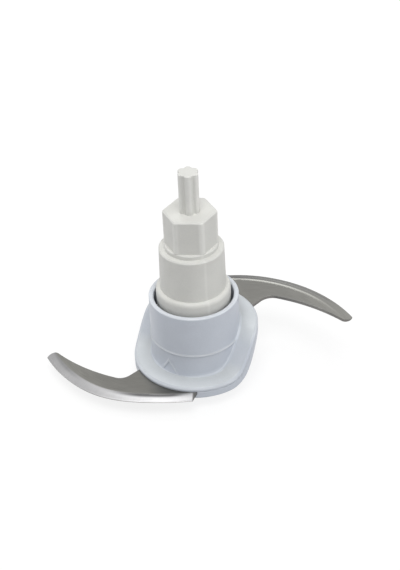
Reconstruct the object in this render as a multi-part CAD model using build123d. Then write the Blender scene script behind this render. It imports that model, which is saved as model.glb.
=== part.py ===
from build123d import *
import os
from math import atan2, cos, radians, sin, tan

# Knife of a food processor. A pale blue two-part hub holds one stainless
# S-shaped sheet, which is bent to a Z so that one wing sweeps low over the
# bowl's floor and the other sweeps high. A white hollow drive shaft stands
# in the hub and ends in a hexagon and a six-lobed pin for other tools.
# Millimetres. The origin is on the axis, in the plane of the hub's foot.
# +Z is up, and a corner of the shaft's hexagon points along +X.

# Radii that everything else is counted from, outwards
SHAFT_R = 17.4             # collar of the shaft
SHAFT_GAP = 0.7            # between the shaft and the spigot's bore
BORE_STEP = 0.65           # the sleeve's bore is wider than the spigot's
SLEEVE_WALL = 2.25         # at the rim
FLANGE_LIP = 8.8           # flange outside the sleeve's rim

# Hub: sleeve and flange
RIM_HEIGHT = 46.0          # foot to the sleeve's rim
SLEEVE_DRAFT = 0.4         # the sleeve widens this much down to the foot plane
RIM_EDGE = 0.5             # chamfer outside the rim
RIM_CHAMFER = 0.55         # inner edge of the rim
FLANGE_TOP_WALL = 2.1      # upper shell above the blade sheet
FLANGE_LOW_WALL = 2.4      # lower shell below the blade sheet
FLANGE_EDGE = 1.0          # chamfer on the flange's upper edge
FLANGE_FOOT_EDGE = 0.5     # chamfer on the flange's lower edge
SLEEVE_ROOT = 1.0          # bevelled foot where the sleeve rises from the flange
RIDGE_DROP = 21.2          # raised line round the sleeve, below the rim
RIDGE_WIDTH = 1.2
RIDGE_PROUD = 0.35

# Z bend that the sheet and both shells follow
LOW_LEVEL = 9.75           # middle of the sheet at the low wing
LEVEL_STEP = 17.4          # from the low wing's root up to the high one's
RAMP_DIRECTION = 63.0      # plan angle in which the ramp climbs
RAMP_ANGLE = 49.0          # slope of the ramp
BEND_R = 15.0              # bend radius at the middle of the sheet

# Raised arrow marks on the sleeve, over the flange's low side
MARK_ANGLES = (238.4, 325.0)
MARK_RISE = 8.7            # tip of the mark above the flange
MARK_HALF_WIDTH = 6.0
MARK_LINE = 1.0
MARK_PROUD = 0.3

# Tubes of the hub below the flange
SPIGOT_WALL = 1.4          # tube of the upper moulding, through the sheet
SKIRT_WALL = 1.6           # tube of the lower moulding, round the spigot
SPIGOT_GAP = 0.1           # radial gap between spigot and skirt
SKIRT_FOOT_EDGE = 0.4      # chamfer round the foot that the hub stands on
BORE_STEP_RISE = 1.0       # the bore widens this far above the flange's high side

# Drive ribs in the spigot, which the shaft's slots slide over
RIB_COUNT = 6
RIB_PROUD = 1.4
RIB_WIDTH = 3.0
RIB_LENGTH = 20.0
RIB_GAP = 0.15             # between a rib and the sides and floor of its slot

# Blade sheet
SHEET = 1.5
SHEET_GAP = 0.1            # under the sheet, and round its edge, in the shell
SHEET_HOLE_GAP = 0.15      # between the spigot and the sheet's hole
SHEET_INSET = 4.0          # outline of the sheet inside the flange's edge
FOLD_CLEAR = 1.0           # each wing starts to slope this far off the flange
LOW_FOLD_DIRECTION = 204.8
LOW_WING_ANGLE = -3.4      # droop of the low wing
HIGH_FOLD_DIRECTION = 24.8
HIGH_WING_ANGLE = 7.5      # rise of the high wing
BEVEL_WIDTH = 4.5          # ground face along the cutting edge
EDGE_LAND = 0.3            # steel left under the bevel

# Outline of each wing, flat and seen from above. Both are drawn on the low
# wing's side, so that the high one is turned half round when it is placed.
# edge: cutting edge from heel to tip. nose: middle of the tip's arc. back:
# start, middle and end of the back edge. throat: middle and end of the arc
# that turns the back edge to the hub.
LOW_WING = {
    "edge": ((0.6, -34.4), (-22.0, -35.6), (-43.5, -30.7), (-60.5, -18.4), (-73.0, -2.1)),
    "nose": (-71.8, -0.4),
    "back": ((-67.6, -0.3), (-53.5, -11.2), (-37.0, -19.3)),
    "throat": ((-33.8, -19.7), (-30.6, -18.2)),
}
HIGH_WING = {
    "edge": ((0.6, -40.0), (-18.0, -40.8), (-38.2, -34.9), (-60.2, -19.8), (-74.2, -1.3)),
    "nose": (-72.8, 0.8),
    "back": ((-69.0, 0.3), (-54.5, -11.4), (-38.4, -20.1)),
    "throat": ((-35.0, -20.7), (-31.0, -19.2)),
}
ROOT_BACK = (-22.5, -10.5)  # end of the back edge, hidden in the flange
ROOT_HEEL = (3.8, -24.0)    # end of the heel, hidden in the flange

# Drive shaft: outside
COLLAR_RISE = 5.3          # foot of the plain cylinder above the hub's rim
COLLAR_ROUND = 1.9
COLLAR_STEP = 2.0          # from the collar in to the cylinder's foot
CYLINDER_DRAFT = 0.45      # the cylinder narrows this much to its top
CYLINDER_LENGTH = 21.1
CYLINDER_EDGE = 0.6
RING_STEP = 2.55           # from the cylinder's top in to the ring
RING_LENGTH = 2.1
RING_EDGE = 0.4
HEXAGON_STEP = 0.2         # corners beyond the ring, before they are rounded
HEXAGON_CORNER_ROUND = 1.8
HEXAGON_LENGTH = 16.7
HEXAGON_TOP_EDGE = 0.6
PIN_LENGTH = 19.7
PIN_LOBES = 6
PIN_LOBE_R = 1.86
PIN_LOBE_CENTRE_R = 3.06
PIN_NOTCH_ROUND = 0.5
PIN_TOP_CHAMFER = 0.3
PIN_TURN = 4.0             # lobes turn this far past the middle of the hexagon's flats

# Drive shaft: hollow for the bowl's column and the motor's spindle
SLOT_WALL = 1.55           # between the column bore and the slots' floors
COLUMN_ROOF = 3.8          # from the column bore's end to the collar's top
CYLINDER_WALL = 2.35       # round the bearing bore
BEARING_ROOF = 3.4         # from the bearing bore's end to the cylinder's top
SOCKET_ACROSS_FLATS = 12.0
SOCKET_ROOF = 4.2          # from the socket's end to the hexagon's top
MOUTH_CHAMFER = 0.6        # lead-in of the bearing bore

SPIGOT_BORE_R = SHAFT_R + SHAFT_GAP
SLEEVE_BORE_R = SPIGOT_BORE_R + BORE_STEP
SLEEVE_RIM_R = SLEEVE_BORE_R + SLEEVE_WALL
FLANGE_R = SLEEVE_RIM_R + FLANGE_LIP
HIGH_LEVEL = LOW_LEVEL + LEVEL_STEP
SHEET_TOP = SHEET / 2
SHEET_SEAT = -SHEET / 2 - SHEET_GAP
FLANGE_TOP = SHEET_TOP + FLANGE_TOP_WALL
FLANGE_BOTTOM = -SHEET / 2 - FLANGE_LOW_WALL
SHEET_RING_R = FLANGE_R - SHEET_INSET
FOLD_DISTANCE = FLANGE_R + FOLD_CLEAR
SPIGOT_R = SPIGOT_BORE_R + SPIGOT_WALL
SKIRT_BORE_R = SPIGOT_R + SPIGOT_GAP
SKIRT_R = SKIRT_BORE_R + SKIRT_WALL
BORE_STEP_HEIGHT = HIGH_LEVEL + FLANGE_TOP + BORE_STEP_RISE
RIB_TIP_R = SPIGOT_BORE_R - RIB_PROUD
SLOT_FLOOR_R = RIB_TIP_R - RIB_GAP
COLUMN_BORE_R = SLOT_FLOOR_R - SLOT_WALL
CYLINDER_FOOT_R = SHAFT_R - COLLAR_STEP
CYLINDER_TOP_R = CYLINDER_FOOT_R - CYLINDER_DRAFT
RING_R = CYLINDER_TOP_R - RING_STEP
HEXAGON_R = RING_R + HEXAGON_STEP
BEARING_BORE_R = CYLINDER_TOP_R - CYLINDER_WALL
COLLAR_TOP = RIM_HEIGHT + COLLAR_RISE
CYLINDER_TOP = COLLAR_TOP + CYLINDER_LENGTH
RING_TOP = CYLINDER_TOP + RING_LENGTH
HEXAGON_TOP = RING_TOP + HEXAGON_LENGTH
REACH = 2 * (RIM_HEIGHT + FLANGE_R)     # beyond everything that is cut
TOUCH = 0.01               # how near counts as on a surface


def step_line():
    """Middle line of the Z bend, as run along the ramp's direction and height."""
    half_run = LEVEL_STEP / 2 / tan(radians(RAMP_ANGLE))
    return [(-REACH, LOW_LEVEL), (-half_run, LOW_LEVEL), (half_run, HIGH_LEVEL), (REACH, HIGH_LEVEL)]


def shifted(points, distance):
    """The line moved sideways by a distance, to its left, with mitred corners."""
    steps = [(Vector(*b) - Vector(*a)).normalized() for a, b in zip(points, points[1:])]
    sides = [Vector(-step.Y, step.X) for step in steps]
    moved = [Vector(*points[0]) + sides[0] * distance]
    for point, before, after in zip(points[1:], sides, sides[1:]):
        moved.append(Vector(*point) + (before + after) * (distance / (1 + before.dot(after))))
    moved.append(Vector(*points[-1]) + sides[-1] * distance)
    return moved


def bent(distance):
    """The Z line at a distance above the sheet's middle, rounded about the bends' centres."""
    moved = shifted(step_line(), distance)
    return FilletPolyline(*moved, radius=[BEND_R - distance, BEND_R + distance])


def across(outline):
    """Extrudes a closed outline in run and height, level and square to the ramp."""
    run = Vector(cos(radians(RAMP_DIRECTION)), sin(radians(RAMP_DIRECTION)), 0)
    plane = Plane(origin=(0, 0, 0), x_dir=run, z_dir=(run.Y, -run.X, 0))
    return extrude(plane * make_face(outline), amount=REACH, both=True)


def above(distance):
    """Everything above a distance from the middle of the Z bend."""
    under = bent(distance)
    left = Vector(-REACH, REACH)
    right = Vector(REACH, REACH)
    return across(under.edges() + [Line(under @ 1, right), Line(right, left), Line(left, under @ 0)])


def layer(low, high):
    """Solid between two distances above the middle of the Z bend."""
    under = bent(low)
    over = bent(high)
    return across(under.edges() + over.edges() + [Line(under @ 1, over @ 1), Line(over @ 0, under @ 0)])


def column(radius, foot, top):
    """Plain round bar on the axis."""
    return Pos(0, 0, foot) * extrude(Circle(radius), top - foot)


def turned(points):
    """Solid of revolution from a closed outline of radius and height."""
    return revolve(make_face(Plane.XZ * Polyline(*points, close=True)), Axis.Z)


def sleeve_r(height):
    """Outside radius of the sleeve at a height."""
    return SLEEVE_RIM_R + SLEEVE_DRAFT * (1 - height / RIM_HEIGHT)


def plan_radius(point):
    return Vector(point.X, point.Y).length


def is_steep(edge):
    """True for a straight edge that mostly climbs."""
    rise = abs((edge @ 1).Z - (edge @ 0).Z)
    return edge.geom_type == GeomType.LINE and rise > 0.9 * edge.length


def shell_rim(low, high, upper):
    """Flange shell between two distances above the sheet's middle, and its upper or lower rim."""
    shell = column(FLANGE_R, 0, REACH) & layer(low, high)
    half = above((low + high) / 2)
    rim = [edge for edge in shell.edges()
           if abs(plan_radius(edge @ 0.5) - FLANGE_R) < TOUCH and not is_steep(edge)
           and half.is_inside(edge @ 0.5) == upper]
    return shell, rim


def sleeve():
    """Turned outside of the sleeve, with the chamfer of its rim."""
    return turned(((0, 0), (sleeve_r(0), 0), (sleeve_r(RIM_HEIGHT - RIM_EDGE), RIM_HEIGHT - RIM_EDGE),
                   (SLEEVE_RIM_R - RIM_EDGE, RIM_HEIGHT), (0, RIM_HEIGHT)))


def ridge():
    """Fine raised line round the sleeve."""
    height = RIM_HEIGHT - RIDGE_DROP
    wall_r = sleeve_r(height)
    ring = turned(((wall_r - RIDGE_PROUD, height - 0.75 * RIDGE_WIDTH),
                   (wall_r + RIDGE_PROUD, height - 0.25 * RIDGE_WIDTH),
                   (wall_r + RIDGE_PROUD, height + 0.25 * RIDGE_WIDTH),
                   (wall_r - RIDGE_PROUD, height + 0.75 * RIDGE_WIDTH)))
    return ring & above(SHEET_TOP)


def arrow_mark(angle):
    """Raised arrow outline that follows the sleeve's wall."""
    foot = LOW_LEVEL + FLANGE_TOP - FLANGE_TOP_WALL / 2
    tip = LOW_LEVEL + FLANGE_TOP + MARK_RISE
    slant = atan2(MARK_HALF_WIDTH, tip - foot)
    inner_tip = tip - MARK_LINE / sin(slant)
    inner_half = MARK_HALF_WIDTH - MARK_LINE / cos(slant)
    stroke = Polyline((-MARK_HALF_WIDTH, foot), (0, tip), (MARK_HALF_WIDTH, foot),
                      (inner_half, foot), (0, inner_tip), (-inner_half, foot), close=True)
    outward = Vector(cos(radians(angle)), sin(radians(angle)), 0)
    plane = Plane(origin=(0, 0, 0), x_dir=(-outward.Y, outward.X, 0), z_dir=outward)
    skin = turned(((SLEEVE_BORE_R + MARK_PROUD, 0), (sleeve_r(0) + MARK_PROUD, 0),
                   (SLEEVE_RIM_R + MARK_PROUD, RIM_HEIGHT), (SLEEVE_BORE_R + MARK_PROUD, RIM_HEIGHT)))
    return extrude(plane * make_face(stroke), amount=REACH) & skin & above(SHEET_TOP)


def around(shape, count):
    """Copies of a shape, evenly spaced round the axis."""
    return [Rot(0, 0, 360 / count * step) * shape for step in range(count)]


def hub_body():
    """Upper moulding: sleeve, upper shell of the flange, spigot and drive ribs."""
    flange, rim = shell_rim(SHEET_TOP, FLANGE_TOP, upper=True)
    body = chamfer(rim, FLANGE_EDGE) + (sleeve() & above(SHEET_TOP))
    body = chamfer(sleeve_root(body), SLEEVE_ROOT)
    body += ridge()
    for angle in MARK_ANGLES:
        body += arrow_mark(angle)
    body += column(SPIGOT_R, 0, BORE_STEP_HEIGHT)
    body -= column(SPIGOT_BORE_R, 0, BORE_STEP_HEIGHT)
    body -= turned(((0, BORE_STEP_HEIGHT), (SLEEVE_BORE_R, BORE_STEP_HEIGHT),
                    (SLEEVE_BORE_R, RIM_HEIGHT - RIM_CHAMFER), (SLEEVE_BORE_R + RIM_CHAMFER, RIM_HEIGHT),
                    (0, RIM_HEIGHT)))
    rib = Box(RIB_PROUD + SPIGOT_WALL / 2, RIB_WIDTH, RIB_LENGTH, align=Align.MIN)
    for copy in around(Pos(RIB_TIP_R, -RIB_WIDTH / 2, 0) * rib, RIB_COUNT):
        body += copy
    return body


def sleeve_root(body):
    """Edges where the sleeve rises from the flange, without the seam of its cone."""
    return [edge for edge in body.edges()
            if SLEEVE_RIM_R < plan_radius(edge @ 0.5) < sleeve_r(0)
            and (edge @ 0.5).Z < BORE_STEP_HEIGHT and not is_steep(edge)]


def hub_base():
    """Lower moulding: lower shell with the sheet's recess, and the skirt it stands on."""
    shell, rim = shell_rim(FLANGE_BOTTOM, SHEET_TOP, upper=False)
    shell = chamfer(rim, FLANGE_FOOT_EDGE)
    skirt = column(SKIRT_R, 0, REACH) - above(FLANGE_BOTTOM + FLANGE_LOW_WALL / 2)
    skirt = chamfer(skirt.edges().group_by(Axis.Z)[0], SKIRT_FOOT_EDGE)
    base = shell + skirt - column(SKIRT_BORE_R, 0, REACH)
    room = column(SHEET_RING_R + SHEET_GAP, 0, REACH)
    for wing, turn in ((LOW_WING, 0), (HIGH_WING, 180)):
        room += Rot(0, 0, turn) * extrude(offset(wing_outline(wing), SHEET_GAP), REACH)
    return base - (room & above(SHEET_SEAT))


def wing_outline(wing):
    """Plan of one wing with its root."""
    cutting = Spline(*wing["edge"])
    back_start, back_middle, back_end = wing["back"]
    throat_middle, throat_end = wing["throat"]
    nose = ThreePointArc(cutting @ 1, wing["nose"], back_start)
    back = ThreePointArc(back_start, back_middle, back_end)
    throat = ThreePointArc(back_end, throat_middle, throat_end)
    root = Polyline(throat_end, ROOT_BACK, ROOT_HEEL, cutting @ 0)
    return make_face(cutting.edges() + nose.edges() + back.edges() + throat.edges() + root.edges())


def ground_wing(wing):
    """Flat wing about the sheet's middle, with its top ground along the cutting edge."""
    flat = extrude(wing_outline(wing), SHEET / 2, both=True)
    heel, tip = Vector(*wing["edge"][0]), Vector(*wing["edge"][-1])
    cutting = [edge for edge in flat.faces().sort_by(Axis.Z)[-1].edges()
               if {round(plan_radius(edge @ end), 3) for end in (0, 1)}
               == {round(heel.length, 3), round(tip.length, 3)}]
    side = next(face for face in cutting[0].topo_parent.faces()
                if cutting[0] in face.edges() and abs(face.normal_at().Z) < 0.5)
    return chamfer(cutting, SHEET - EDGE_LAND, BEVEL_WIDTH, reference=side)


def folded_wing(wing, level, direction, angle):
    """Wing that leaves its level at the fold, mitred there."""
    flat = ground_wing(wing)
    outward = Vector(cos(radians(direction)), sin(radians(direction)), 0)
    fold = Axis(outward * FOLD_DISTANCE, (outward.Y, -outward.X, 0))
    tilted = flat.rotate(fold, angle)
    mitre = Plane(origin=outward * FOLD_DISTANCE,
                  z_dir=outward * cos(radians(angle / 2)) + Vector(0, 0, sin(radians(angle / 2))))
    inner = split(flat, bisect_by=mitre, keep=Keep.BOTTOM)
    outer = split(tilted, bisect_by=mitre, keep=Keep.TOP)
    return Pos(0, 0, level) * (inner + outer)


def blade():
    """One stainless sheet: a bent ring round the spigot, and two ground wings."""
    sheet = column(SHEET_RING_R, 0, REACH) & layer(-SHEET / 2, SHEET / 2)
    sheet += folded_wing(LOW_WING, LOW_LEVEL, LOW_FOLD_DIRECTION, LOW_WING_ANGLE)
    sheet += Rot(0, 0, 180) * folded_wing(HIGH_WING, HIGH_LEVEL, HIGH_FOLD_DIRECTION - 180, HIGH_WING_ANGLE)
    return sheet - column(SPIGOT_R + SHEET_HOLE_GAP, 0, REACH)


def shaft_outside():
    """Turned outside of the shaft up to the ring under the hexagon."""
    collar = FilletPolyline((SHAFT_R, 0), (SHAFT_R, COLLAR_TOP), (CYLINDER_FOOT_R, COLLAR_TOP),
                            radius=[COLLAR_ROUND])
    above_collar = Polyline((CYLINDER_FOOT_R, COLLAR_TOP), (CYLINDER_TOP_R, CYLINDER_TOP - CYLINDER_EDGE),
                            (CYLINDER_TOP_R - CYLINDER_EDGE, CYLINDER_TOP), (RING_R, CYLINDER_TOP),
                            (RING_R, RING_TOP - RING_EDGE), (RING_R - RING_EDGE, RING_TOP), (0, RING_TOP),
                            (0, 0), (SHAFT_R, 0))
    return revolve(Plane.XZ * make_face(collar.edges() + above_collar.edges()), Axis.Z)


def hexagon():
    outline = RegularPolygon(HEXAGON_R, 6)
    outline = fillet(outline.vertices(), HEXAGON_CORNER_ROUND)
    block = Pos(0, 0, RING_TOP) * extrude(outline, HEXAGON_LENGTH)
    return chamfer(block.edges().group_by(Axis.Z)[-1], HEXAGON_TOP_EDGE)


def lobed_pin():
    """Six-lobed pin on top of the hexagon."""
    outline = Circle(PIN_LOBE_CENTRE_R)
    for lobe in around(Pos(PIN_LOBE_CENTRE_R, 0) * Circle(PIN_LOBE_R), PIN_LOBES):
        outline += lobe
    lobe_tip_r = PIN_LOBE_CENTRE_R + PIN_LOBE_R
    notches = [point for point in outline.vertices() if point.center().length < lobe_tip_r - TOUCH]
    outline = fillet(notches, PIN_NOTCH_ROUND)
    pin = Pos(0, 0, HEXAGON_TOP) * Rot(0, 0, 180 / PIN_LOBES + PIN_TURN) * extrude(outline, PIN_LENGTH)
    return chamfer(pin.edges().group_by(Axis.Z)[-1], PIN_TOP_CHAMFER)


def shaft_hollow():
    """Column bore, bearing bore with its lead-in, and hexagonal spindle socket."""
    column_top = COLLAR_TOP - COLUMN_ROOF
    bearing_top = CYLINDER_TOP - BEARING_ROOF
    hollow = turned(((0, 0), (COLUMN_BORE_R, 0), (COLUMN_BORE_R, column_top),
                     (BEARING_BORE_R + MOUTH_CHAMFER, column_top),
                     (BEARING_BORE_R, column_top + MOUTH_CHAMFER), (BEARING_BORE_R, bearing_top),
                     (0, bearing_top)))
    spindle = RegularPolygon(SOCKET_ACROSS_FLATS / 2, 6, major_radius=False)
    socket = extrude(spindle, HEXAGON_TOP - SOCKET_ROOF)
    return hollow + socket


def drive_shaft():
    """White hollow shaft with collar, cylinder, hexagon and six-lobed pin."""
    shaft = shaft_outside() + hexagon() + lobed_pin() - shaft_hollow()
    slot = Box(SHAFT_R, RIB_WIDTH + 2 * RIB_GAP, RIB_LENGTH, align=Align.MIN)
    for copy in around(Pos(SLOT_FLOOR_R, -RIB_WIDTH / 2 - RIB_GAP, 0) * slot, RIB_COUNT):
        shaft -= copy
    return shaft


if __name__ == "__main__":
    os.makedirs("parts", exist_ok=True)
    nodes = {"hub_body": hub_body(), "hub_base": hub_base(), "blade": blade(), "drive_shaft": drive_shaft()}
    for name, solid in nodes.items():
        export_step(solid, f"parts/{name}.step")
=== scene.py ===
import math

import bpy
from mathutils import Matrix, Vector

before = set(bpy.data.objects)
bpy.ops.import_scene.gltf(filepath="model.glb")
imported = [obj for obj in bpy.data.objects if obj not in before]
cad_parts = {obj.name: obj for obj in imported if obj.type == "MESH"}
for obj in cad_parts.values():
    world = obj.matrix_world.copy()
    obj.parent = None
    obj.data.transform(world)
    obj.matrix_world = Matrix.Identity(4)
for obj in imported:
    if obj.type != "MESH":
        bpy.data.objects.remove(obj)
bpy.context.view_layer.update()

# A food processor's knife: a white drive shaft in a pale blue hub with a
# stepped round flange, and a steel wing on each side. Metres, +Z up.

# Camera, fitted to the photograph's 400 by 570 frame
IMAGE_SIZE = (400, 570)
FOCAL_PIXELS = 1200.0
SENSOR = 36.0                       # millimetres, on the image's long side
CAMERA_DISTANCE = 0.558479
CAMERA_AZIMUTH = 5.632              # degrees, 0 looks along +Y
CAMERA_ELEVATION = 36.129
CAMERA_ROLL = 2.793
AIM_POINT = Vector((0, 0, 0.046))   # middle of the hub's rim
AIM_PIXEL = (193.587, 292.323)      # where that point lies in the photograph

# Colours, linear: a plastic's walls, its upward faces painted lighter as lit from above, and its painted
# edge highlights
SHAFT_WALL = (0.685, 0.685, 0.655)
SHAFT_TOP_LIT = (0.755, 0.755, 0.72)
SHAFT_EDGE = (0.90, 0.90, 0.87)
HUB_WALL = (0.59, 0.63, 0.70)
HUB_TOP_LIT = (0.635, 0.665, 0.682)
HUB_EDGE = (0.77, 0.805, 0.86)

# The steel's flats, the same ground bevel painted lit on the low wing and shaded
# on the high wing, the painted highlight line where the high bevel starts, and the cut edges
STEEL_FLAT = (0.239, 0.236, 0.219)
STEEL_GROUND_LIT = (0.435, 0.433, 0.438)
STEEL_GROUND_SHADED = (0.22, 0.218, 0.212)
STEEL_PAINTED_LINE = (0.80, 0.80, 0.75)
STEEL_CUT = (0.26, 0.25, 0.24)

# The pairs and fours of numbers below are ramps, apart from the wing's arc
# centre. A pair goes smoothly from 0 at its first number to 1 at its second.
# Four numbers go from the third to the fourth between the same two places.

# Moulded plastic: how far a face looks up, which gives it the painted light of the top colour, how
# sharply an edge turns and how much of the edge colour, a painted highlight, it then takes. Then its
# cloudy tint, fine specks and changing gloss, and its eroded grain, with the scale of each noise per
# metre.
UPWARD = (0.45, 0.97)
EDGE_TURN = (0.01, 0.12)
EDGE_SHARE = 0.6
CLOUD_SCALE = 90.0
CLOUD = (0.35, 0.65, 0.975, 1.01)
SPECK_SCALE = 1400.0
SPECK = (0.30, 0.70, 0.985, 1.01)
GLOSS_SCALE = 160.0
GLOSS = (0.3, 0.7)
SMOOTHER = 0.04
ROUGHER = 0.05
ERODED_SCALE = 2600.0

# Painted highlights on the shaft, along the hexagon's corners and on the pin's
# lobes, and a faint lighter line, which runs up the shaft at this angle
HEXAGON_FOOT = 0.0747
HEXAGON_TOP = 0.0912
ABOVE_FOOT = (HEXAGON_FOOT, HEXAGON_FOOT + 0.0003)
ON_PIN = (HEXAGON_TOP, HEXAGON_TOP + 0.003)
CORNER_RADIUS = (0.01165, 0.0121, 0.0, 0.7)
LOBE_RADIUS = (0.0043, 0.0049, 0.0, 0.8)
LIGHTER_LINE_ANGLE = math.radians(-62)
LIGHTER_LINE_OFFSET = (0.0011, 0.0, 0.0, 0.38)

# Painted highlights on the hub: its rim, the raised line and marks, which stand
# proud of the sleeve's slightly tapered wall, and the flange's outer half
RIM_HEIGHT = 0.046
RIM_R = 0.021
SLEEVE_DRAFT = 0.0004
AT_RIM = (RIM_HEIGHT - 0.0008, RIM_HEIGHT - 0.0004, 0.0, 1.4)
PROUD_START = (0.00016, 0.00026)
PROUD_END = (0.00048, 0.00040)
PROUD_SHARE = 0.9
OUTER_FLANGE_LIGHT = (0.023, 0.029, 0.0, 0.30)

# Painted shade on the flange round the sleeve's foot, but not on the sleeve
ROOT_SHADE_RADIUS = (0.0280, 0.0216, 0.0, 0.12)
OFF_SLEEVE = (0.0208, 0.0213)

# Centre of the arc that the low wing's cutting edge follows; the high wing's
# is the same point turned half round. The bevel lies outside the border.
WING_ARC_CENTRE = (-0.020, 0.020)
WING_BORDER_R = 0.0505
HIGH_SIDE = (0.0, 0.001)            # the high wing lies on the +X side

# Rounding of the steel's cut edges, and of the shallow angle where a bevel
# starts. How far out the high wing narrows to its tip: its edges lie too
# close together there for the wide rounding.
CUT_ROUND = 0.0003
BEVEL_ROUND = 0.0016
SHALLOW_TURN = (0.03, 0.012)
TIP_START_X = 0.058
TIP_X = 0.066

# What tells a bevel from a flat, and a cut edge from both: how much of the
# surface's direction points up or down
GROUND_TILT = (0.997, 0.972)
CUT_TILT = (0.6, 0.4)

# The high bevel's painted highlight line: the turn of a narrow and of a wide rounding
# that it shows on, its inner limit, and how it fades along x towards the tip
LINE_ROUND = 0.0018
LINE_WIDE_ROUND = 0.0026
LINE_TURN = (0.0008, 0.0026)
LINE_WIDE_TURN = (0.03, 0.014)
LINE_INNER_LIMIT = (WING_BORDER_R - 0.0015, WING_BORDER_R)
LINE_FADE = (0.034, 0.071, 1.0, 0.0)

# The high wing's fold: a straight line this far from the axis, at this angle.
# The painted highlight line crosses it between these radii only.
FOLD_DISTANCE = 0.0308
FOLD_ANGLE = math.radians(24.8)
NEAR_FOLD = (0.0032, 0.0022)
CROSSING_START = (0.0552, 0.0560)
CROSSING_END = (0.0582, 0.0574)

# The low wing's bevel starts about this far from that centre: least in the
# wing's middle, and more on both sides by the square of the distance
BORDER_MIDDLE_X = 0.041             # on the -X side of the axis
BORDER_MIDDLE_R = 0.0510
BORDER_CURVE = 1.3

# Painted shade on that bevel: darker from its start on, before it brightens
# further out: strongly near the hub, and less so towards the tip, both told by x
PAST_START = (0.0006, 0.0022, 0.82, 0.0)
BY_TIP = (-0.050, -0.062, 0.0, 0.35)
BY_HUB_OUTSIDE = (-0.046, -0.024)
BY_HUB_INSIDE = (0.004, -0.010)

# Painted light and shade on the steel: how bright it is made by the distance
# from the axis, and on the high bevel by x
LOW_FLAT_SHADING = (0.034, 0.062, 0.78, 0.98)
LOW_BEVEL_SHADING = (0.034, 0.077, 1.18, 0.77)
HIGH_FLAT_SHADING = (0.044, 0.076, 1.0, 1.28)
HIGH_BEVEL_SHADING = (0.018, 0.045, 0.64, 0.92)
HIGH_TIP_SHADING = (TIP_START_X, TIP_X, 1.0, 0.82)

# Steel grain: noise per metre across the wing, per radian along it, and its
# roughness. The streaks it draws are weaker on the bevels.
ROLLED_GRAIN = (5200.0, 5.0, 0.6)
GROUND_GRAIN = (160.0, 190.0, 0.65)
STREAK = (0.25, 0.75, -0.15, 0.13)
STREAK_LOSS = 0.65
STEEL_CLOUD_SCALE = 60.0
STEEL_CLOUD = (0.3, 0.7, 0.96, 1.04)
STEEL_ROUGHNESS = (0.2, 0.8, 0.27, 0.35)
GROUND_ROUGHER = 0.08
STEEL_GRAIN_DEPTH = 0.000010

# Floor: half its side, its colour for the light it throws back, the share of
# light it shows to the eye, and its own glow by the distance from the object
FLOOR_HALF = 3.0
FLOOR_PALE = (0.59, 0.59, 0.59)
FLOOR_ROUGHNESS = 0.9
SEEN_PALE = (0.22, 0.22, 0.22)
SEEN_GLOW = (0.12, 0.60, 0.82, 1.0)
WHITE = (1.0, 1.0, 1.0)

# Strength of the sky's light on the object, and the lamps: name, place,
# metres across and watts
SKY_STRENGTH = 0.34
LAMPS = (
    ("overhead", (-0.16, 0.33, 1.00), 0.38, 1.15),
    ("front", (0.04, -0.38, 0.97), 0.6, 4.75),
    ("right", (1.00, -0.12, 0.45), 0.6, 2.9),
    ("left", (-1.00, 0.20, 0.35), 0.5, 2.0),
)


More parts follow.
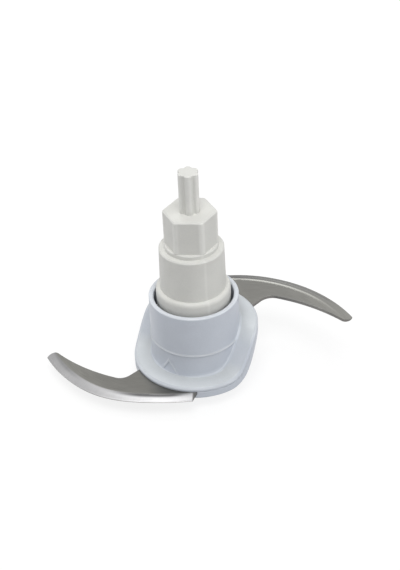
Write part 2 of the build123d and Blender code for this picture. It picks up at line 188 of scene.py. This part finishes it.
class Nodes:
    """Builds the node tree of a material or a world with short calls."""

    def __init__(self, owner):
        owner.use_nodes = True
        self.owner = owner
        self.tree = owner.node_tree

    def own(self, name):
        """Inputs of a node that a new tree has from the start."""
        return self.tree.nodes[name].inputs

    def feed(self, socket, value):
        """Links a socket to another node's output, or sets it to a plain value."""
        if isinstance(value, bpy.types.NodeSocket):
            self.tree.links.new(value, socket)
        elif isinstance(value, tuple):
            socket.default_value = (*value, 1)
        else:
            socket.default_value = value

    def add(self, kind, inputs=(), **settings):
        """New node, its inputs given as pairs of name or number and value."""
        node = self.tree.nodes.new(kind)
        for name, value in settings.items():
            setattr(node, name, value)
        for key, value in inputs:
            self.feed(node.inputs[key], value)
        return node

    def math(self, operation, first, second=0.0):
        return self.add("ShaderNodeMath", ((0, first), (1, second)), operation=operation).outputs[0]

    def plus(self, first, second):
        return self.math("ADD", first, second)

    def minus(self, first, second):
        return self.math("SUBTRACT", first, second)

    def product(self, first, *others):
        for other in others:
            first = self.math("MULTIPLY", first, other)
        return first

    def largest(self, first, *others):
        for other in others:
            first = self.math("MAXIMUM", first, other)
        return first

    def scaled(self, colour, factor):
        node = self.add("ShaderNodeVectorMath", ((0, colour), ("Scale", factor)), operation="SCALE")
        return node.outputs[0]

    def dot(self, first, second):
        node = self.add("ShaderNodeVectorMath", ((0, first), (1, second)), operation="DOT_PRODUCT")
        return node.outputs["Value"]

    def distance(self, vector):
        """Length of a vector."""
        node = self.add("ShaderNodeVectorMath", ((0, vector),), operation="LENGTH")
        return node.outputs["Value"]

    def split(self, vector):
        return self.add("ShaderNodeSeparateXYZ", ((0, vector),)).outputs

    def join(self, x, y, z):
        return self.add("ShaderNodeCombineXYZ", ((0, x), (1, y), (2, z))).outputs[0]

    def ramp(self, value, start, end, at_start=0.0, at_end=1.0):
        """Smooth step from one value to another."""
        inputs = (("Value", value), ("From Min", start), ("From Max", end),
                  ("To Min", at_start), ("To Max", at_end))
        return self.add("ShaderNodeMapRange", inputs, interpolation_type="SMOOTHSTEP").outputs[0]

    def mixed(self, kind, sockets, factor, first, second):
        """Mix of two values, vectors or colours, which have their own sockets on the same node."""
        first_input, second_input, output = sockets
        inputs = ((0, factor), (first_input, first), (second_input, second))
        return self.add("ShaderNodeMix", inputs, data_type=kind).outputs[output]

    def mix_value(self, factor, first, second):
        return self.mixed("FLOAT", (2, 3, 0), factor, first, second)

    def mix_vector(self, factor, first, second):
        return self.mixed("VECTOR", (4, 5, 1), factor, first, second)

    def mix_colour(self, factor, first, second):
        return self.mixed("RGBA", (6, 7, 2), factor, first, second)

    def noise(self, vector, scale, detail=2.0, roughness=0.5):
        inputs = (("Vector", vector), ("Scale", scale), ("Detail", detail), ("Roughness", roughness))
        return self.add("ShaderNodeTexNoise", inputs).outputs[0]

    def place(self):
        """Coordinates on the object, in metres."""
        return self.add("ShaderNodeTexCoord").outputs["Object"]

    def rounded(self, radius):
        """Normal as if the edges were rounded."""
        return self.add("ShaderNodeBevel", (("Radius", radius),), samples=8).outputs[0]

    def true_normal(self):
        return self.add("ShaderNodeNewGeometry").outputs["True Normal"]

    def turn(self, normal):
        """How far a rounded normal leans from the surface's own: 1 less the cosine."""
        return self.minus(1.0, self.dot(normal, self.true_normal()))

    def bump(self, height, distance, normal):
        inputs = (("Height", height), ("Distance", distance), ("Normal", normal), ("Strength", 1.0))
        return self.add("ShaderNodeBump", inputs).outputs[0]


def place_camera():
    """Camera that puts the aim point on its pixel, with the photograph's angle and roll."""
    azimuth, elevation, roll = (math.radians(value) for value in
                                (CAMERA_AZIMUTH, CAMERA_ELEVATION, CAMERA_ROLL))
    level = math.cos(elevation)
    back = Vector((math.sin(azimuth) * level, -math.cos(azimuth) * level, math.sin(elevation)))
    turn = (-back).to_track_quat("-Z", "Y").to_matrix()
    across = (AIM_PIXEL[0] - IMAGE_SIZE[0] / 2) / FOCAL_PIXELS
    down = (AIM_PIXEL[1] - IMAGE_SIZE[1] / 2) / FOCAL_PIXELS
    pitch = Matrix.Rotation(math.atan(down), 3, "X")
    yaw = Matrix.Rotation(math.atan(across), 3, "Y")
    turn = turn @ Matrix.Rotation(-roll, 3, "Z") @ pitch @ yaw
    data = bpy.data.cameras.new("camera")
    data.sensor_width = SENSOR
    data.lens = FOCAL_PIXELS * SENSOR / max(IMAGE_SIZE)
    camera = bpy.data.objects.new("camera", data)
    bpy.context.scene.collection.objects.link(camera)
    camera.matrix_world = Matrix.Translation(AIM_POINT + back * CAMERA_DISTANCE) @ turn.to_4x4()
    bpy.context.scene.camera = camera


def plan_length(nodes, x, y):
    """Length in plan."""
    return nodes.math("SQRT", nodes.plus(nodes.product(x, x), nodes.product(y, y)))


def along(nodes, x, y, angle):
    """How far a point lies in the direction of an angle, in plan."""
    return nodes.plus(nodes.product(x, math.cos(angle)), nodes.product(y, math.sin(angle)))


def upward_share(nodes):
    """1 on faces that look up, 0 on walls and below."""
    return nodes.ramp(nodes.split(nodes.true_normal())[2], *UPWARD)


def shaft_shine(nodes):
    """Painted highlights on the shaft's corners and lobes, and its faint lighter line, with no painted
    shade.
    """
    x, y, z = nodes.split(nodes.place())
    radius = plan_length(nodes, x, y)
    above = nodes.ramp(z, *ABOVE_FOOT)
    # Painted highlights on the hexagon's corners and the pin's lobes
    corner = nodes.product(nodes.ramp(radius, *CORNER_RADIUS), above)
    lobe = nodes.product(nodes.ramp(radius, *LOBE_RADIUS), nodes.ramp(z, *ON_PIN))
    # Faint lighter line up the shaft below the hexagon
    offset = nodes.math("ABSOLUTE", along(nodes, x, y, LIGHTER_LINE_ANGLE + math.pi / 2))
    lighter_line = nodes.product(nodes.ramp(offset, *LIGHTER_LINE_OFFSET), nodes.minus(1.0, above))
    return nodes.largest(corner, lobe, lighter_line), 1.0


def hub_shine(nodes):
    """Painted highlights on the hub's rim, line, marks and outer flange, and the painted shade on the
    inner flange.
    """
    x, y, z = nodes.split(nodes.place())
    radius = plan_length(nodes, x, y)
    upward = upward_share(nodes)
    # Painted highlight on the flange's outer half, on upward faces
    outer_light = nodes.product(nodes.ramp(radius, *OUTER_FLANGE_LIGHT), upward)
    wall = nodes.minus(RIM_R + SLEEVE_DRAFT, nodes.product(z, SLEEVE_DRAFT / RIM_HEIGHT))
    proud = nodes.minus(radius, wall)
    line = nodes.product(nodes.ramp(proud, *PROUD_START), nodes.ramp(proud, *PROUD_END))
    raised = nodes.product(line, PROUD_SHARE)
    # Painted shade on the flange round the sleeve's foot
    foot = nodes.product(nodes.ramp(radius, *ROOT_SHADE_RADIUS), nodes.ramp(radius, *OFF_SLEEVE))
    root_shade = nodes.product(foot, upward)
    return nodes.largest(nodes.ramp(z, *AT_RIM), outer_light, raised), nodes.minus(1.0, root_shade)


def plastic(name, colours, roughness, grain, edge_round, edge_highlight, shine):
    """Moulded plastic: painted light on upward faces and painted highlights on edges, a faint cloudy
    tint, fine eroded grain.
    """
    nodes = Nodes(bpy.data.materials.new(name))
    shader = nodes.own("Principled BSDF")
    wall, top, edge = colours
    place = nodes.place()
    soft_normal = nodes.rounded(edge_round)
    # Painted highlights of each part, and its painted shade
    light, dim = shine(nodes)
    # Painted highlight on turned edges and on the part's own highlighted places
    highlighted = nodes.largest(nodes.ramp(nodes.turn(soft_normal), *EDGE_TURN, 0.0, edge_highlight), light)
    body = nodes.mix_colour(upward_share(nodes), wall, top)
    body = nodes.mix_colour(nodes.product(highlighted, EDGE_SHARE), body, edge)
    cloud = nodes.ramp(nodes.noise(place, CLOUD_SCALE, detail=3.0), *CLOUD)
    speck = nodes.ramp(nodes.noise(place, SPECK_SCALE), *SPECK)
    gloss = nodes.noise(place, GLOSS_SCALE, detail=3.0)
    eroded = nodes.noise(place, ERODED_SCALE, detail=3.0, roughness=0.6)
    # Colour with painted light, times the cloudy tint, the specks and the painted shade
    nodes.feed(shader["Base Color"], nodes.scaled(body, nodes.product(cloud, speck, dim)))
    rough = nodes.ramp(gloss, *GLOSS, roughness - SMOOTHER, roughness + ROUGHER)
    nodes.feed(shader["Roughness"], rough)
    nodes.feed(shader["Normal"], nodes.bump(eroded, grain, soft_normal))
    return nodes.owner


def wing_coordinates(nodes, x, y):
    """Radius and angle about the arc of the wing that a point belongs to."""
    side = nodes.math("SIGN", nodes.product(x, -1.0))
    outward = nodes.minus(nodes.product(x, side), WING_ARC_CENTRE[0])
    sideways = nodes.minus(nodes.product(y, side), WING_ARC_CENTRE[1])
    return plan_length(nodes, outward, sideways), nodes.math("ARCTAN2", sideways, outward)


def bevel_highlight(nodes, x, y, radius):
    """Painted highlight line where the high wing's bevel starts, fading towards its tip."""
    turn = nodes.ramp(nodes.turn(nodes.rounded(LINE_ROUND)), *LINE_TURN)
    wide_turn = nodes.ramp(nodes.turn(nodes.rounded(LINE_WIDE_ROUND)), *LINE_WIDE_TURN)
    from_fold = nodes.minus(along(nodes, x, y, FOLD_ANGLE), FOLD_DISTANCE)
    near_fold = nodes.ramp(nodes.math("ABSOLUTE", from_fold), *NEAR_FOLD)
    crossing = nodes.product(nodes.ramp(radius, *CROSSING_START), nodes.ramp(radius, *CROSSING_END))
    off_fold = nodes.minus(1.0, nodes.product(near_fold, nodes.minus(1.0, crossing)))
    return nodes.product(turn, wide_turn, nodes.ramp(radius, *LINE_INNER_LIMIT), off_fold,
                         nodes.ramp(x, *LINE_FADE), nodes.ramp(x, *HIGH_SIDE))


def painted_bevel_shade(nodes, x, radius, ground):
    """Painted shade: factor that darkens the low bevel's inner part near the hub and the tip."""
    offset = nodes.plus(x, BORDER_MIDDLE_X)
    border = nodes.plus(BORDER_MIDDLE_R, nodes.product(offset, offset, BORDER_CURVE))
    inside = nodes.ramp(nodes.minus(radius, border), *PAST_START)
    by_hub = nodes.product(nodes.ramp(x, *BY_HUB_OUTSIDE), nodes.ramp(x, *BY_HUB_INSIDE))
    by_place = nodes.plus(by_hub, nodes.ramp(x, *BY_TIP))
    return nodes.minus(1.0, nodes.product(inside, ground, by_place))


def wing_painted_light(nodes, x, y, high, ground):
    """Painted light and shade that change slowly along each wing, apart on its flat and its bevel."""
    out = plan_length(nodes, x, y)
    low_bevel = nodes.ramp(out, *LOW_BEVEL_SHADING)
    low_shading = nodes.mix_value(ground, nodes.ramp(out, *LOW_FLAT_SHADING), low_bevel)
    high_bevel = nodes.product(nodes.ramp(x, *HIGH_BEVEL_SHADING), nodes.ramp(x, *HIGH_TIP_SHADING))
    high_shading = nodes.mix_value(ground, nodes.ramp(out, *HIGH_FLAT_SHADING), high_bevel)
    return nodes.mix_value(high, low_shading, high_shading)


def wing_noise(nodes, radius, angle, per_metre, per_radian, roughness):
    """Noise stretched along or across the wing."""
    place = nodes.join(nodes.product(radius, per_metre), nodes.product(angle, per_radian), 0.0)
    return nodes.noise(place, scale=1.0, detail=3.0, roughness=roughness)


def steel(name):
    """Rolled flats with grain along the wing, ground bevels with lines across it, darker cut edges, and
    painted light and shade.
    """
    nodes = Nodes(bpy.data.materials.new(name))
    shader = nodes.own("Principled BSDF")
    place = nodes.place()
    x, y = nodes.split(place)[:2]
    radius, angle = wing_coordinates(nodes, x, y)
    high = nodes.ramp(x, *HIGH_SIDE)

    wide_normal = nodes.rounded(BEVEL_ROUND)
    shallow = nodes.product(nodes.ramp(nodes.turn(wide_normal), *SHALLOW_TURN),
                            nodes.ramp(x, TIP_X, TIP_START_X))
    soft_normal = nodes.mix_vector(shallow, nodes.rounded(CUT_ROUND), wide_normal)
    ground = nodes.ramp(nodes.math("ABSOLUTE", nodes.split(soft_normal)[2]), *GROUND_TILT)
    cut = nodes.ramp(nodes.math("ABSOLUTE", nodes.split(nodes.true_normal())[2]), *CUT_TILT)

    # One ground finish, painted lit on the low wing's bevel and shaded on the high wing's
    bevel = nodes.mix_colour(high, STEEL_GROUND_LIT, STEEL_GROUND_SHADED)
    base = nodes.mix_colour(ground, STEEL_FLAT, bevel)
    base = nodes.mix_colour(cut, base, STEEL_CUT)
    # Painted highlight line along the high bevel's start
    base = nodes.mix_colour(bevel_highlight(nodes, x, y, radius), base, STEEL_PAINTED_LINE)

    grain = nodes.mix_value(ground, wing_noise(nodes, radius, angle, *ROLLED_GRAIN),
                            wing_noise(nodes, radius, angle, *GROUND_GRAIN))
    contrast = nodes.minus(1.0, nodes.product(ground, STREAK_LOSS))
    streak = nodes.plus(1.0, nodes.product(nodes.ramp(grain, *STREAK), contrast))
    cloud = nodes.ramp(nodes.noise(place, STEEL_CLOUD_SCALE, detail=3.0), *STEEL_CLOUD)
    # Grain streaks and cloudy tint, times the painted shade on the low bevel and the painted light along
    # each wing
    shade = nodes.product(streak, cloud, painted_bevel_shade(nodes, x, radius, ground),
                          wing_painted_light(nodes, x, y, high, ground))
    roughness = nodes.plus(nodes.ramp(grain, *STEEL_ROUGHNESS), nodes.product(ground, GROUND_ROUGHER))
    nodes.feed(shader["Base Color"], nodes.scaled(base, shade))
    nodes.feed(shader["Metallic"], 1.0)
    nodes.feed(shader["Roughness"], roughness)
    nodes.feed(shader["Normal"], nodes.bump(grain, STEEL_GRAIN_DEPTH, soft_normal))
    return nodes.owner


def dress(node, material):
    """Gives a piece its material."""
    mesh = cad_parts[node].data
    mesh.materials.clear()
    mesh.materials.append(material)


def background_ray(nodes):
    """1 for rays that should see the white background."""
    path = nodes.add("ShaderNodeLightPath").outputs
    return nodes.largest(path["Is Camera Ray"], path["Is Glossy Ray"], path["Is Transmission Ray"])


def floor_material():
    """Pale to the light that it throws back, and white to the eye apart from the object's shadow."""
    nodes = Nodes(bpy.data.materials.new("floor"))
    shader = nodes.own("Principled BSDF")
    nodes.feed(shader["Base Color"], FLOOR_PALE)
    nodes.feed(shader["Roughness"], FLOOR_ROUGHNESS)
    pale = nodes.tree.nodes["Principled BSDF"].outputs[0]
    away = nodes.distance(nodes.place())
    shadowed = nodes.add("ShaderNodeBsdfDiffuse", (("Color", SEEN_PALE),)).outputs[0]
    strength = nodes.ramp(away, *SEEN_GLOW)
    glow = nodes.add("ShaderNodeEmission", (("Color", WHITE), ("Strength", strength))).outputs[0]
    seen = nodes.add("ShaderNodeAddShader", ((0, shadowed), (1, glow))).outputs[0]
    mixed = nodes.add("ShaderNodeMixShader", ((0, background_ray(nodes)), (1, pale), (2, seen)))
    nodes.feed(nodes.own("Material Output")["Surface"], mixed.outputs[0])
    return nodes.owner


def make_stage():
    """Square floor that the object stands on."""
    half = FLOOR_HALF
    corners = [(-half, -half, 0), (half, -half, 0), (half, half, 0), (-half, half, 0)]
    mesh = bpy.data.meshes.new("floor")
    mesh.from_pydata(corners, [], [(0, 1, 2, 3)])
    mesh.materials.append(floor_material())
    floor = bpy.data.objects.new("floor", mesh)
    bpy.context.scene.collection.objects.link(floor)


def area_lamp(name, place, size, watts):
    """Round soft lamp that points at the object."""
    data = bpy.data.lights.new(name, "AREA")
    data.shape = "DISK"
    data.size = size
    data.energy = watts
    lamp = bpy.data.objects.new(name, data)
    bpy.context.scene.collection.objects.link(lamp)
    lamp.location = place
    lamp.rotation_euler = (AIM_POINT - Vector(place)).to_track_quat("-Z", "Y").to_euler()


def light_scene():
    """White surroundings, a dimmer sky for diffuse light, and the soft lamps."""
    world = bpy.data.worlds.new("studio")
    bpy.context.scene.world = world
    nodes = Nodes(world)
    sky = nodes.own("Background")
    nodes.feed(sky["Color"], WHITE)
    nodes.feed(sky["Strength"], nodes.ramp(background_ray(nodes), 0.0, 1.0, SKY_STRENGTH, 1.0))
    for lamp in LAMPS:
        area_lamp(*lamp)


bpy.context.scene.view_settings.view_transform = "Standard"
place_camera()
make_stage()
light_scene()
shaft_white = plastic("shaft_plastic", colours=(SHAFT_WALL, SHAFT_TOP_LIT, SHAFT_EDGE), roughness=0.45,
                      grain=0.000012, edge_round=0.0004, edge_highlight=0.5, shine=shaft_shine)
hub_blue = plastic("hub_plastic", colours=(HUB_WALL, HUB_TOP_LIT, HUB_EDGE), roughness=0.36,
                   grain=0.000008, edge_round=0.0010, edge_highlight=0.12, shine=hub_shine)
dress("drive_shaft", shaft_white)
dress("hub_body", hub_blue)
dress("hub_base", hub_blue)
dress("blade", steel("blade_steel"))
